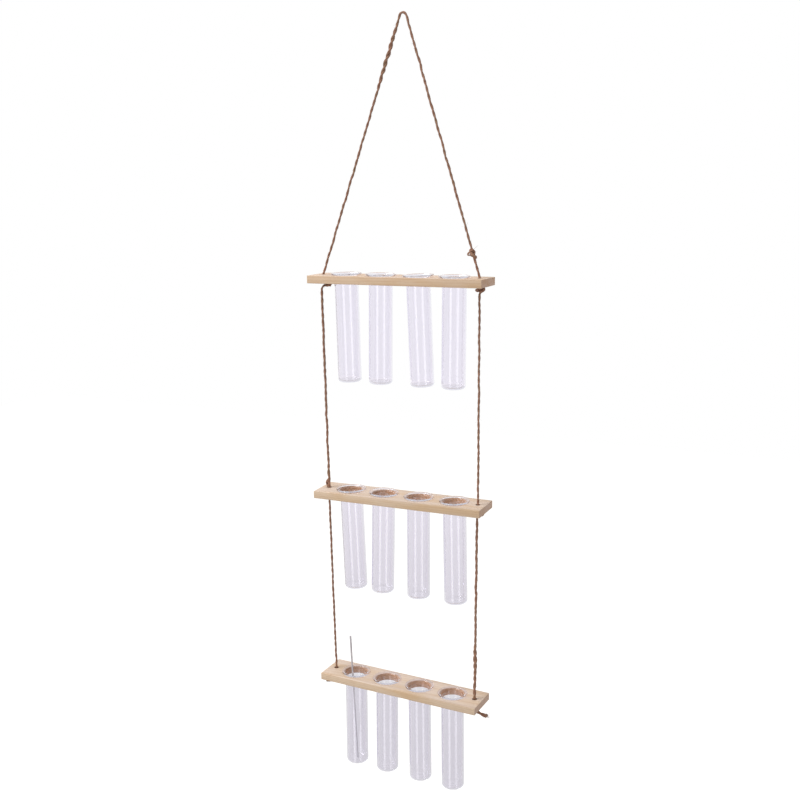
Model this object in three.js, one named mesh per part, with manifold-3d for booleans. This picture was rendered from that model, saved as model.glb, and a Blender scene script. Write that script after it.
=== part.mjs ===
// Hanging test tube vase: three pine shelves hang one under another on jute twine,
// and four lipped glass tubes hang by their flares in the holes of each shelf.
// Millimetres, +Z up, +Y towards the wall. The origin is the point of the hook
// that the twine loop lies on.
import * as THREE from 'three';
import { mergeVertices } from 'three/addons/utils/BufferGeometryUtils.js';
import Module from 'manifold-3d';

// Shelves
const SHELF_LENGTH = 190;
const SHELF_WIDTH = 40;
const SHELF_THICKNESS = 8;
const SHELF_EDGE_BREAK = 0.4;
const SHELF_END_TO_TUBE = 35;
const TUBES_PER_SHELF = 4;
const TUBE_HOLE_CLEARANCE = 1.5;
const CORD_HOLE_DIAMETER = 5;
const CORD_HOLE_INSET = 8.75;

// Tubes
const TUBE_DIAMETER = 25;
const TUBE_HEIGHT = 113;
const TUBE_WALL = 1.2;
const TUBE_FLOOR = 1.6;
const TUBE_CORNER_RADIUS = 3.6;
const FLARE_RADIUS = 2.75;
const LIP_THICKNESS = 1.5;
const LIP_ROUNDING_ANGLE = 30;
const ROUND_SIDES = 20;
const LEAN_PIVOT_HEIGHT = 20;

// Thin rod that stands in the first tube of the bottom shelf
const ROD_FOOT_DIAMETER = 1.8;
const ROD_TIP_DIAMETER = 1.2;
const ROD_LENGTH = 148;
const ROD_LEAN_DIRECTION = 146;

// Twine
const TWINE_DIAMETER = 2.4;
const KNOT_TWINE_DIAMETER = 2.1;
const TWINE_SIDES = 8;
const TWINE_STEP = 3;
const LOOP_HEIGHT = 246;
const MIDDLE_SHELF_DROP = 230.5;
const BOTTOM_SHELF_DROP = 217;
const LOOP_OFFSET = 6.8;
const HOOK_BEND_RADIUS = 3.5;
const STRAND_GAP = 0.45;
const JOINING_KNOT_HEIGHT = 23.5;
const JOINING_KNOT_TURN = 160;
const JOINING_END = [-5.8, -0.8, -1.3];
const JOINING_KNOT_LEAD = 1.4;
const STOPPER_KNOT_LEAD = 3.6;

// What touches keeps this gap
const SEAT_GAP = 0.3;

// Each shelf: its drop below the one above, its twist about the vertical in degrees,
// and how far each tube leans, in degrees, with the foot of the tube towards +X
const SHELVES = [
  { name: 'top', drop: LOOP_HEIGHT, twist: 0, leans: [0.9, -1.0, 2.1, -0.5] },
  { name: 'middle', drop: MIDDLE_SHELF_DROP, twist: 0, leans: [1.9, -1.5, -0.3, 1.0] },
  { name: 'bottom', drop: BOTTOM_SHELF_DROP, twist: -3.4, leans: [-0.3, -0.6, 0.4, 0.4] },
];

// Derived sizes
const TUBE_PITCH = (SHELF_LENGTH - 2 * SHELF_END_TO_TUBE) / (TUBES_PER_SHELF - 1);
const TUBE_RADIUS = TUBE_DIAMETER / 2;
const TUBE_HOLE_RADIUS = TUBE_RADIUS + TUBE_HOLE_CLEARANCE;
const CORD_HOLE_X = SHELF_LENGTH / 2 - CORD_HOLE_INSET;
const TWINE_RADIUS = TWINE_DIAMETER / 2;
const KNOT_SPACING = KNOT_TWINE_DIAMETER + STRAND_GAP;
const HINGE_GAP = TWINE_RADIUS + SEAT_GAP;
const toRadians = THREE.MathUtils.degToRad;

const wasm = await Module();
wasm.setup();

// Boolean joins
function toSolid(geometry) {
  const bare = geometry.clone();
  bare.deleteAttribute('normal');
  bare.deleteAttribute('uv');
  const merged = mergeVertices(bare, 1e-4);
  return new wasm.Manifold(new wasm.Mesh({
    numProp: 3,
    vertProperties: merged.attributes.position.array,
    triVerts: Uint32Array.from(merged.index.array),
  }));
}

function toGeometry(solid) {
  const mesh = solid.getMesh();
  const geometry = new THREE.BufferGeometry();
  geometry.setAttribute('position', new THREE.BufferAttribute(mesh.vertProperties, 3));
  geometry.setIndex(new THREE.BufferAttribute(mesh.triVerts, 1));
  geometry.computeVertexNormals();
  return geometry;
}

function join(geometries) {
  return toGeometry(geometries.map(toSolid).reduce((all, next) => all.add(next)));
}

function piece(name, geometry, color, roughness, extra = {}) {
  const material = new THREE.MeshStandardMaterial({ color, roughness, metalness: 0, ...extra });
  const mesh = new THREE.Mesh(geometry, material);
  mesh.name = name;
  return mesh;
}

const pine = (name, geometry) => piece(name, geometry, 0xe2c9ac, 0.6);
const jute = (name, geometry) => piece(name, geometry, 0x8a5f45, 0.95);
const glass = (name, geometry) =>
  piece(name, geometry, 0xe8e8f2, 0.05, { transparent: true, opacity: 0.35 });

// Pine shelf: a planed strip with its edges broken, four tube holes and two cord holes.
// Its top face is at z = 0.
function circle(radius, x, sides) {
  const path = new THREE.Path();
  for (let i = 0; i < sides; i += 1) {
    const angle = -2 * Math.PI * i / sides;
    const move = i === 0 ? 'moveTo' : 'lineTo';
    path[move](x + radius * Math.cos(angle), radius * Math.sin(angle));
  }
  path.closePath();
  return path;
}

function tubeX(index) {
  return (index - (TUBES_PER_SHELF - 1) / 2) * TUBE_PITCH;
}

function shelfGeometry() {
  const halfLength = SHELF_LENGTH / 2;
  const halfWidth = SHELF_WIDTH / 2;
  const outline = new THREE.Shape();
  outline.moveTo(-halfLength, -halfWidth);
  outline.lineTo(halfLength, -halfWidth);
  outline.lineTo(halfLength, halfWidth);
  outline.lineTo(-halfLength, halfWidth);
  outline.closePath();
  for (let i = 0; i < TUBES_PER_SHELF; i += 1) {
    outline.holes.push(circle(TUBE_HOLE_RADIUS, tubeX(i), ROUND_SIDES));
  }
  for (const side of [-1, 1]) {
    outline.holes.push(circle(CORD_HOLE_DIAMETER / 2, side * CORD_HOLE_X, ROUND_SIDES / 2));
  }
  const geometry = new THREE.ExtrudeGeometry(outline, {
    depth: SHELF_THICKNESS - 2 * SHELF_EDGE_BREAK,
    bevelEnabled: true,
    bevelThickness: SHELF_EDGE_BREAK,
    bevelSize: SHELF_EDGE_BREAK,
    bevelOffset: -SHELF_EDGE_BREAK,
    bevelSegments: 1,
  });
  geometry.translate(0, 0, SHELF_EDGE_BREAK - SHELF_THICKNESS);
  return geometry;
}

// Glass tube: flat floor, rounded corner, straight wall, and a flare with a fire-polished
// lip. The flare hangs on the broken edge of the hole. Its axis is z, and z = 0 is the
// top face of the shelf when the tube stands upright.
const FLARE_CENTRE_RADIUS = TUBE_RADIUS + FLARE_RADIUS;
const HOLE_EDGE_RADIUS = TUBE_HOLE_RADIUS + SHELF_EDGE_BREAK;
const SEAT_RUN = FLARE_CENTRE_RADIUS - HOLE_EDGE_RADIUS;
const SEAT_DEPTH = Math.sqrt((FLARE_RADIUS - SEAT_GAP) ** 2 - SEAT_RUN ** 2);
const LIP_TOP = FLARE_RADIUS + LIP_THICKNESS - SEAT_DEPTH;
const TUBE_FOOT = LIP_TOP - TUBE_HEIGHT;

function arc(centreR, centreZ, radiusR, radiusZ, from, to, steps) {
  const points = [];
  for (let i = 0; i <= steps; i += 1) {
    const angle = toRadians(from + (to - from) * i / steps);
    points.push(new THREE.Vector2(
      centreR + radiusR * Math.cos(angle),
      centreZ + radiusZ * Math.sin(angle),
    ));
  }
  return points;
}

function tubeGeometry() {
  const innerRadius = TUBE_RADIUS - TUBE_WALL;
  const innerFloor = TUBE_FOOT + TUBE_FLOOR;
  const innerCorner = TUBE_CORNER_RADIUS - TUBE_WALL;
  const cornerCentre = TUBE_RADIUS - TUBE_CORNER_RADIUS;
  const lipRadius = LIP_THICKNESS / 2;
  const lipCentre = LIP_TOP - lipRadius;
  const innerFlareR = FLARE_CENTRE_RADIUS - innerRadius;
  const innerFlareZ = LIP_TOP + SEAT_DEPTH;
  const profile = [
    new THREE.Vector2(0, TUBE_FOOT),
    ...arc(cornerCentre, TUBE_FOOT + TUBE_CORNER_RADIUS, TUBE_CORNER_RADIUS, TUBE_CORNER_RADIUS,
      -90, 0, 2),
    ...arc(FLARE_CENTRE_RADIUS, -SEAT_DEPTH, FLARE_RADIUS, FLARE_RADIUS, 180, 90, 3),
    ...arc(FLARE_CENTRE_RADIUS, lipCentre, lipRadius, lipRadius,
      -LIP_ROUNDING_ANGLE, LIP_ROUNDING_ANGLE, 1),
    ...arc(FLARE_CENTRE_RADIUS, -SEAT_DEPTH, innerFlareR, innerFlareZ, 90, 180, 3),
    ...arc(cornerCentre, innerFloor + innerCorner, innerCorner, innerCorner, 0, -90, 2),
    new THREE.Vector2(0, innerFloor),
  ];
  const geometry = new THREE.LatheGeometry(profile, ROUND_SIDES);
  geometry.rotateX(Math.PI / 2);
  geometry.rotateZ(Math.PI / 2);
  return geometry;
}

// A leaning tube rides up on one side of its flare by this much
function leanLift(lean) {
  const arm = HOLE_EDGE_RADIUS - LEAN_PIVOT_HEIGHT * SEAT_RUN / SEAT_DEPTH;
  return Math.abs(Math.sin(lean)) * Math.max(arm, 0);
}

// Thin tapered rod: it stands on the floor of its tube and leans on the wall at the neck
function rodGeometry() {
  const geometry = new THREE.CylinderGeometry(
    ROD_TIP_DIAMETER / 2, ROD_FOOT_DIAMETER / 2, ROD_LENGTH, TWINE_SIDES);
  geometry.translate(0, ROD_LENGTH / 2, 0);
  geometry.rotateX(Math.PI / 2);
  return geometry;
}

function placeRod(rod) {
  const neckRadius = TUBE_RADIUS - TUBE_WALL - ROD_FOOT_DIAMETER / 2 - SEAT_GAP;
  const foot = TUBE_FOOT + TUBE_FLOOR + 2 * SEAT_GAP;
  const lean = Math.atan2(neckRadius, -SEAT_DEPTH - foot);
  rod.rotation.set(0, lean, toRadians(ROD_LEAN_DIRECTION), 'ZYX');
  rod.position.z = foot;
  return rod;
}

// Twine: a round section swept along a curve through its points, one ring or more per point
class TwinePath extends THREE.CatmullRomCurve3 {
  getPointAt(u, target) {
    return this.getPoint(u, target);
  }

  getTangentAt(u, target) {
    return this.getTangent(u, target);
  }
}

function twineGeometry(points, diameter = TWINE_DIAMETER) {
  const section = new THREE.Shape();
  for (let i = 0; i < TWINE_SIDES; i += 1) {
    const angle = 2 * Math.PI * i / TWINE_SIDES;
    const move = i === 0 ? 'moveTo' : 'lineTo';
    section[move](diameter / 2 * Math.cos(angle), diameter / 2 * Math.sin(angle));
  }
  section.closePath();
  const path = new TwinePath(points, false, 'centripetal');
  return new THREE.ExtrudeGeometry(section, {
    steps: points.length - 1,
    bevelEnabled: false,
    extrudePath: path,
  });
}

// Points along a straight run, with a ring every few diameters
function run(from, to) {
  const steps = Math.max(1, Math.round(from.distanceTo(to) / (TWINE_STEP * TWINE_DIAMETER)));
  const points = [];
  for (let i = 0; i <= steps; i += 1) {
    points.push(from.clone().lerp(to, i / steps));
  }
  return points;
}

// The rounded end of a twine that swings in its hole or under its knot
function swivelEnd(centre) {
  const ball = new THREE.SphereGeometry(TWINE_RADIUS, TWINE_SIDES, 4);
  ball.translate(centre.x, centre.y, centre.z);
  return ball;
}

// Overhand knot pulled tight along its twine, for the joining knot. In units of the distance
// between strands, with the twine running along z, an odd sine series gives x and z and an
// even cosine series gives y.
const KNOT_X = [0, -0.696, -0.433];
KNOT_X[0] = 2 * KNOT_X[1] - 3 * KNOT_X[2];
const KNOT_Y = [0.209, -0.728, 0.358];
const KNOT_Z = [-1.117, -0.456, -0.109];
const KNOT_HALF_HEIGHT = 1.066;
const KNOT_STEPS = 26;

function knotPoint(t) {
  const theta = Math.PI * t;
  let x = 0;
  let y = 0;
  let z = KNOT_HALF_HEIGHT * t;
  for (let n = 1; n <= 3; n += 1) {
    x += KNOT_X[n - 1] * Math.sin(n * theta);
    y += KNOT_Y[n - 1] * (1 - (-1) ** n * Math.cos(n * theta));
    z += KNOT_Z[n - 1] * Math.sin(n * theta);
  }
  return new THREE.Vector3(x, y, z).multiplyScalar(KNOT_SPACING);
}

// The knot's points from its upper lead to its lower lead, turned about its own axis
// and then with that axis laid along the direction given
function knotPoints(turn, axis) {
  const up = new THREE.Vector3(0, 0, 1);
  const spin = new THREE.Quaternion().setFromAxisAngle(up, toRadians(turn));
  const aim = new THREE.Quaternion().setFromUnitVectors(up, axis.clone().normalize());
  const points = [];
  for (let i = 0; i <= KNOT_STEPS; i += 1) {
    const point = knotPoint(1 - 2 * i / KNOT_STEPS);
    points.push(point.applyQuaternion(spin).applyQuaternion(aim));
  }
  return points;
}

// Least gap between strands that pass each other, measured on points along the twine
function leastGap(points) {
  const path = new THREE.CatmullRomCurve3(points, false, 'centripetal');
  const samples = path.getSpacedPoints(Math.ceil(path.getLength() / 0.5));
  const apart = Math.ceil(2.5 * TWINE_DIAMETER / 0.5);
  let least = Infinity;
  for (let i = 0; i < samples.length; i += 1) {
    for (let j = i + apart; j < samples.length; j += 1) {
      least = Math.min(least, samples[i].distanceTo(samples[j]) - KNOT_TWINE_DIAMETER);
    }
  }
  return least;
}

// Overhand knot pulled up flat against a shelf: the twine runs twice round a ring and passes
// over and under itself three times. Places along the twine are in degrees, the ring and its
// sway are in units of the distance between strands.
const FLAT_KNOT_RING = 1.164;
const FLAT_KNOT_SWAY = 0.531;
const FLAT_KNOT_ENTRY = 6;
const FLAT_KNOT_OPENING = 22;
const FLAT_KNOT_STEPS = 24;

function flatKnotPoint(place, turn) {
  const along = toRadians(place);
  const around = 2 * along + toRadians(turn);
  const radius = FLAT_KNOT_RING + FLAT_KNOT_SWAY * Math.cos(3 * along);
  return new THREE.Vector3(
    radius * Math.cos(around),
    radius * Math.sin(around),
    FLAT_KNOT_SWAY * Math.sin(3 * along),
  ).multiplyScalar(KNOT_SPACING);
}

// Stopper knot under a shelf, with the twine that comes down through the cord hole.
// Its ring bears on the underside. The twine leaves it at the swing point below,
// or ends in a free tail.
function stopperKnot({ x, turn, exit, tail }) {
  const entry = flatKnotPoint(FLAT_KNOT_ENTRY, turn);
  const leave = flatKnotPoint(-FLAT_KNOT_ENTRY, turn);
  const highest = FLAT_KNOT_SWAY * KNOT_SPACING + KNOT_TWINE_DIAMETER / 2;
  const middle = new THREE.Vector3(x - entry.x, -entry.y, -SHELF_THICKNESS - SEAT_GAP - highest);
  const points = [-HINGE_GAP, -SHELF_THICKNESS / 2, -SHELF_THICKNESS]
    .map((z) => new THREE.Vector3(x, 0, z));
  for (let i = 0; i <= FLAT_KNOT_STEPS; i += 1) {
    const place = FLAT_KNOT_OPENING + (360 - 2 * FLAT_KNOT_OPENING) * i / FLAT_KNOT_STEPS;
    points.push(flatKnotPoint(place, turn).add(middle));
  }
  const end = points[points.length - 1].z;
  if (tail) {
    points.push(...tail.map(([dx, dy, dz]) => new THREE.Vector3(x + dx, dy, end + dz)));
  } else {
    const out = new THREE.Vector3(x + exit, 0, end - STOPPER_KNOT_LEAD);
    const bendX = (leave.x + middle.x + out.x) / 2;
    const bendY = (leave.y + middle.y) / 2;
    points.push(new THREE.Vector3(bendX, bendY, end - STOPPER_KNOT_LEAD / 2), out);
  }
  return points;
}

// Where the twine below a stopper knot swings
function swingPoint(points) {
  const end = points[points.length - 1].clone();
  end.z -= HINGE_GAP;
  return end;
}

// Each stopper knot: the direction in which its two ends lie, and how far beside the hole's
// axis the twine leaves it. The two lowest have free tails, given from the hole's axis and
// the end of the knot.
const STOPPER_KNOTS = {
  top: [{ turn: 225, exit: -2.4 }, { turn: 105, exit: -0.2 }],
  middle: [{ turn: 240, exit: -0.2 }, { turn: 255, exit: -0.9 }],
  bottom: [
    { turn: 255, tail: [[-2.4, -3.2, -2.5], [-5.0, -6.6, -3.2], [-7.0, -9.3, -2.3]] },
    { turn: 30, tail: [[3.0, 0.2, -3.1], [7.8, 0.5, -5.1], [11.4, 0.7, -5.3], [15.0, 0.9, -4.9]] },
  ],
};

const vase = new THREE.Group();

// Shelves with their knots, tubes and the rod. Each shelf is a group whose origin is
// the centre of its top face.
const shelfGroups = {};
const knotRuns = {};
let height = 0;
for (const { name, drop, twist, leans } of SHELVES) {
  height -= drop;
  const group = new THREE.Group();
  group.position.set(-LOOP_OFFSET, 0, height);
  group.rotation.z = toRadians(twist);
  group.add(pine(`${name}_shelf`, shelfGeometry()));

  knotRuns[name] = STOPPER_KNOTS[name].map((knot, i) =>
    stopperKnot({ ...knot, x: (i === 0 ? -1 : 1) * CORD_HOLE_X }));
  knotRuns[name].forEach((points, i) => {
    const side = i === 0 ? 'left' : 'right';
    console.log(`${name}_${side}_knot least gap ${leastGap(points).toFixed(2)} mm`);
    group.add(jute(`${name}_${side}_knot`, twineGeometry(points, KNOT_TWINE_DIAMETER)));
  });

  leans.forEach((degrees, i) => {
    const lean = toRadians(degrees);
    const leaning = new THREE.Group();
    leaning.position.set(tubeX(i), 0, LEAN_PIVOT_HEIGHT + leanLift(lean));
    leaning.rotation.y = -lean;
    const upright = new THREE.Group();
    upright.position.z = -LEAN_PIVOT_HEIGHT;
    upright.add(glass(`${name}_tube_${i + 1}`, tubeGeometry()));
    if (name === 'bottom' && i === 0) {
      upright.add(placeRod(piece('slim_rod', rodGeometry(), 0x8f8a90, 0.5)));
    }
    leaning.add(upright);
    group.add(leaning);
  });

  shelfGroups[name] = group;
  vase.add(group);
}
vase.updateMatrixWorld(true);

// Where the cords swing under each shelf's knots
for (const [name, group] of Object.entries(shelfGroups)) {
  if (name !== 'bottom') {
    const swing = swingPoint(knotRuns[name][0]).z + group.position.z;
    console.log(`${name} shelf top ${group.position.z} mm, cords swing at ${swing.toFixed(3)} mm`);
  }
}

// Points of a shelf in the vase's own frame
function onShelf(name, point) {
  return point.clone().applyMatrix4(shelfGroups[name].matrixWorld);
}

function cordHole(name, side) {
  return onShelf(name, new THREE.Vector3(side * CORD_HOLE_X, 0, 0));
}

// The four straight cords between the shelves. A short end of twine lies tucked against
// the left one where it enters the middle shelf.
const TUCKED_END = [[-0.9, 0, 1.7], [-2.3, 0, 3.4], [-2.5, 0, 5.4], [-1.8, 0, 7.2]];

for (const [upper, lower] of [['top', 'middle'], ['middle', 'bottom']]) {
  [-1, 1].forEach((side, i) => {
    const from = onShelf(upper, swingPoint(knotRuns[upper][i]));
    const to = cordHole(lower, side);
    const parts = [twineGeometry(run(from, to)), swivelEnd(from), swivelEnd(to)];
    if (lower === 'middle' && side === -1) {
      const tucked = TUCKED_END.map(([x, y, z]) => new THREE.Vector3(x, y, z).add(to));
      parts.push(twineGeometry(tucked));
    }
    vase.add(jute(`${lower}_${i === 0 ? 'left' : 'right'}_cord`, join(parts)));
  });
}

// The hanging loop: up from the left cord hole, over the hook and down the right leg to
// the knot that joins its two ends, then a short end into the right cord hole
const hookCentre = new THREE.Vector3(0, 0, TWINE_RADIUS - HOOK_BEND_RADIUS);
const leftHole = cordHole('top', -1);
const rightHole = cordHole('top', 1);

// Where a straight leg from a cord hole meets the round bend over the hook
function hookAngle(hole) {
  const dx = hole.x - hookCentre.x;
  const dz = hole.z - hookCentre.z;
  const toHole = Math.atan2(dz, dx);
  const turn = Math.acos(HOOK_BEND_RADIUS / Math.hypot(dx, dz));
  return hole.x > 0 ? toHole + turn : toHole - turn + 2 * Math.PI;
}

function onHook(angle) {
  return new THREE.Vector3(Math.cos(angle), 0, Math.sin(angle))
    .multiplyScalar(HOOK_BEND_RADIUS).add(hookCentre);
}

const leftAngle = hookAngle(leftHole);
const rightAngle = hookAngle(rightHole);
const HOOK_STEPS = 6;
const bend = [];
for (let i = 0; i <= HOOK_STEPS; i += 1) {
  bend.push(onHook(leftAngle + (rightAngle - leftAngle) * i / HOOK_STEPS));
}

const legUp = onHook(rightAngle).sub(rightHole).normalize();
const knotCentre = rightHole.clone().addScaledVector(legUp, JOINING_KNOT_HEIGHT / legUp.z);
const joining = knotPoints(JOINING_KNOT_TURN, legUp).map((point) => point.add(knotCentre));
const halfKnot = joining[0].distanceTo(knotCentre) + JOINING_KNOT_LEAD + TWINE_RADIUS;
const joiningRun = [
  knotCentre.clone().addScaledVector(legUp, halfKnot),
  ...joining,
  knotCentre.clone().addScaledVector(legUp, -halfKnot),
];
console.log(`joining_knot least gap ${leastGap(joiningRun).toFixed(2)} mm`);

// One cut end sticks out of the joining knot's inner side
const knotSide = joining.reduce((most, point) => (point.x < most.x ? point : most));
const cutEnd = knotCentre.clone().add(new THREE.Vector3(...JOINING_END));
const joiningEnd = twineGeometry(
  [knotSide, knotSide.clone().lerp(cutEnd, 0.5), cutEnd], KNOT_TWINE_DIAMETER);

const aboveKnot = knotCentre.clone().addScaledVector(legUp, halfKnot + SEAT_GAP);
const belowKnot = knotCentre.clone().addScaledVector(legUp, -halfKnot - SEAT_GAP);
const loop = [
  ...run(leftHole, bend[0]),
  ...bend.slice(1, -1),
  ...run(bend[HOOK_STEPS], aboveKnot),
];
vase.add(jute('hanging_loop', join([twineGeometry(loop), swivelEnd(leftHole)])));
const joiningTwine = twineGeometry(joiningRun, KNOT_TWINE_DIAMETER);
vase.add(jute('joining_knot', join([joiningTwine, joiningEnd])));
vase.add(jute('loop_end', join([twineGeometry(run(rightHole, belowKnot)), swivelEnd(rightHole)])));

export default vase;
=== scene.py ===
import math
import random

import bpy
from mathutils import Matrix, Quaternion, Vector, noise


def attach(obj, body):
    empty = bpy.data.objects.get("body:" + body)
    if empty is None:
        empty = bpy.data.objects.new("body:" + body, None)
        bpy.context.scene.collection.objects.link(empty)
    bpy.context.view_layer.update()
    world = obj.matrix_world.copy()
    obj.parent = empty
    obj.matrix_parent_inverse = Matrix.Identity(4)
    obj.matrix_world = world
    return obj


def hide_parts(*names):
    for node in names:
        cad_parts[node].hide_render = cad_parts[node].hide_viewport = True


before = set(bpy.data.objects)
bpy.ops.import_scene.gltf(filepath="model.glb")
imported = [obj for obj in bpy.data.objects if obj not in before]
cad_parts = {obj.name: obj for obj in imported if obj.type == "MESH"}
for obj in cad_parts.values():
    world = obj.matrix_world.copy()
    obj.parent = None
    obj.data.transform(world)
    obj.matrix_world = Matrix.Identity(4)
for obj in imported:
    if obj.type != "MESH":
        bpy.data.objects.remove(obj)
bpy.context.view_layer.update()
bpy.context.scene.view_settings.view_transform = "Standard"


# The camera: the photograph is taken from a little above the top shelf and from the
# right, with a lens about 47 mm long on a 36 mm sensor. Places are in millimetres and
# turned to metres here.
MM = 0.001
# pixels of the photograph: its width and height, the focal length, and the row that the
# lens looks along
PICTURE, FOCAL_LENGTH, OPTICAL_ROW = 800, 1033.45, 449.3
SENSOR = 36
VIEW_FROM = Vector((423.6, -959.9, -161.0)) * MM
VIEW_YAW = math.radians(24.2)
VIEW_PITCH = math.radians(-14.13)
VIEW_ROLL = math.radians(-0.6)

across = Vector((math.cos(VIEW_YAW), math.sin(VIEW_YAW), 0))
ahead = Vector((-math.sin(VIEW_YAW) * math.cos(VIEW_PITCH),
                math.cos(VIEW_YAW) * math.cos(VIEW_PITCH),
                math.sin(VIEW_PITCH)))
upward = across.cross(ahead)
right = math.cos(VIEW_ROLL) * across + math.sin(VIEW_ROLL) * upward
up = -math.sin(VIEW_ROLL) * across + math.cos(VIEW_ROLL) * upward
lens = bpy.data.cameras.new("view")
lens.lens = FOCAL_LENGTH / PICTURE * SENSOR
lens.sensor_width = SENSOR
lens.shift_y = (OPTICAL_ROW - PICTURE / 2) / PICTURE
lens.clip_start, lens.clip_end = 0.05, 50
camera = bpy.data.objects.new("view", lens)
bpy.context.scene.collection.objects.link(camera)
camera.matrix_world = Matrix((
    (right.x, up.x, -ahead.x, VIEW_FROM.x),
    (right.y, up.y, -ahead.y, VIEW_FROM.y),
    (right.z, up.z, -ahead.z, VIEW_FROM.z),
    (0, 0, 0, 1)))
bpy.context.scene.camera = camera


# The jute twine: two hairy plies of spun jute laid round each other, about 2.4 mm
# thick, with a full turn every 15 mm. Its fibres are a dry red brown with tan and
# olive strands among them, and short ends stand out all along it.
TWINE = 2.4
PLY_TURN = 15.0
PLY_RADIUS = 0.93
PLY_OFFSET = 0.38
PLY_SIDES = 8
RING_STEP = 0.45
# how far each length of twine runs on past the two ends of its route
LAP = 1.3


def linear(hexcode):
    """An sRGB hex colour as the linear values that a node takes."""
    parts = [int(hexcode[i:i + 2], 16) / 255 for i in (1, 3, 5)]
    return tuple(c / 12.92 if c <= 0.04045 else ((c + 0.055) / 1.055) ** 2.4
                 for c in parts) + (1.0,)


def add(tree, kind, settings=None, links=None):
    """Adds a node with its settings and links. A key is a socket's name or number,
    or else one of the node's own properties."""
    made = tree.nodes.new(kind)
    for key, value in (settings or {}).items():
        if isinstance(key, int) or (key in made.inputs and not hasattr(made, str(key))):
            made.inputs[key].default_value = value
        else:
            setattr(made, key, value)
    for key, source in (links or {}).items():
        tree.links.new(source, made.inputs[key])
    return made


def shade(ramp, stops):
    """Sets a colour ramp's stops from (place, hex colour) pairs."""
    elements = ramp.color_ramp.elements
    while len(elements) < len(stops):
        elements.new(0.5)
    for element, (place, hexcode) in zip(elements, stops):
        element.position = place
        element.color = linear(hexcode)


def blank(name):
    """A new material and its tree, with one Principled shader in it."""
    made = bpy.data.materials.new(name)
    made.use_nodes = True
    return made, made.node_tree, made.node_tree.nodes["Principled BSDF"]


# Spun jute: bast fibre, dry and matt, coloured by retting to red brown, tan and a little
# olive. The eye sees fine slanting strands and patches a centimetre or so long. Single
# fibres are too thin to show, so the strands are drawn 0.3 mm wide.
jute, tree, skin = blank("spun_jute")
coords = add(tree, "ShaderNodeTexCoord")
lay = add(tree, "ShaderNodeMapping", {"Scale": (9.0, 0.5, 1.0), "Rotation": (0, 0, 0.35)},
          {"Vector": coords.outputs["UV"]})
strands = add(tree, "ShaderNodeTexNoise", {"Scale": 1.0, "Detail": 4.0, "Roughness": 0.65},
              {"Vector": lay.outputs["Vector"]})
patches = add(tree, "ShaderNodeTexNoise", {"Scale": 75.0, "Detail": 3.0, "Roughness": 0.6},
              {"Vector": coords.outputs["Object"]})
strand_colour = add(tree, "ShaderNodeValToRGB", links={"Fac": strands.outputs["Fac"]})
shade(strand_colour, [(0.34, "#64402F"), (0.47, "#9C715B"), (0.56, "#AF836B"), (0.68, "#D8B8A3")])
patch_colour = add(tree, "ShaderNodeValToRGB", links={"Fac": patches.outputs["Fac"]})
shade(patch_colour, [(0.3, "#926353"), (0.45, "#AC7F6A"), (0.58, "#A5836D"), (0.7, "#968463")])
both = add(tree, "ShaderNodeMix", {"data_type": "RGBA", "blend_type": "MIX", 0: 0.45},
           {6: strand_colour.outputs["Color"], 7: patch_colour.outputs["Color"]})
relief = add(tree, "ShaderNodeBump", {"Strength": 1.0, "Distance": 0.25 * MM},
             {"Height": strands.outputs["Fac"]})
tree.links.new(both.outputs[2], skin.inputs["Base Color"])
tree.links.new(relief.outputs["Normal"], skin.inputs["Normal"])
skin.inputs["Roughness"].default_value = 0.95
skin.inputs["Specular IOR Level"].default_value = 0.2
skin.inputs["Sheen Weight"].default_value = 0.15
skin.inputs["Sheen Roughness"].default_value = 0.5

# Loose jute fibre: fine ends of bast fibre in the twine's own middle colours. Against
# the white they give the cord its soft, hairy edge.
fibre, tree, skin = blank("loose_jute_fibre")
coords = add(tree, "ShaderNodeTexCoord")
tone = add(tree, "ShaderNodeTexNoise", {"Scale": 120.0, "Detail": 2.0},
           {"Vector": coords.outputs["Object"]})
tone_colour = add(tree, "ShaderNodeValToRGB", links={"Fac": tone.outputs["Fac"]})
shade(tone_colour, [(0.35, "#8A6350"), (0.65, "#B99A86")])
tree.links.new(tone_colour.outputs["Color"], skin.inputs["Base Color"])
skin.inputs["Roughness"].default_value = 0.8


def along(points, step):
    """Points at even steps on the smooth curve through the route's points."""
    first = points[0] * 2 - points[1]
    last = points[-1] * 2 - points[-2]
    knots = [first, *points, last]
    dense = []
    for a, b, c, d in zip(knots, knots[1:], knots[2:], knots[3:]):
        t1 = max((b - a).length, 1e-6) ** 0.5
        t2 = t1 + max((c - b).length, 1e-6) ** 0.5
        t3 = t2 + max((d - c).length, 1e-6) ** 0.5
        count = max(2, math.ceil((c - b).length / step * 2))
        for i in range(count):
            t = t1 + (t2 - t1) * i / count
            ab = a.lerp(b, t / t1)
            bc = b.lerp(c, (t - t1) / (t2 - t1))
            cd = c.lerp(d, (t - t2) / (t3 - t2))
            dense.append(ab.lerp(bc, t / t2).lerp(bc.lerp(cd, (t - t1) / (t3 - t1)),
                                                  (t - t1) / (t2 - t1)))
    dense.append(points[-1])
    runs = [(q - p).length for p, q in zip(dense, dense[1:])]
    total = sum(runs)
    count = max(2, round(total / step))
    even, gone, j = [dense[0]], 0.0, 0
    for i in range(1, count):
        want = total * i / count
        while gone + runs[j] < want:
            gone += runs[j]
            j += 1
        even.append(dense[j].lerp(dense[j + 1], (want - gone) / runs[j]))
    even.append(dense[-1])
    return even


def travelling_axes(line):
    """Two axes square to the curve at each of its points, carried along without twist."""
    axes = []
    side = None
    for i in range(len(line)):
        heading = (line[min(i + 1, len(line) - 1)] - line[max(i - 1, 0)]).normalized()
        if side is None:
            side = heading.cross(Vector((0, 1, 0.2))).normalized()
        side = (side - heading * side.dot(heading)).normalized()
        axes.append((heading, side, heading.cross(side)))
    return axes


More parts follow.
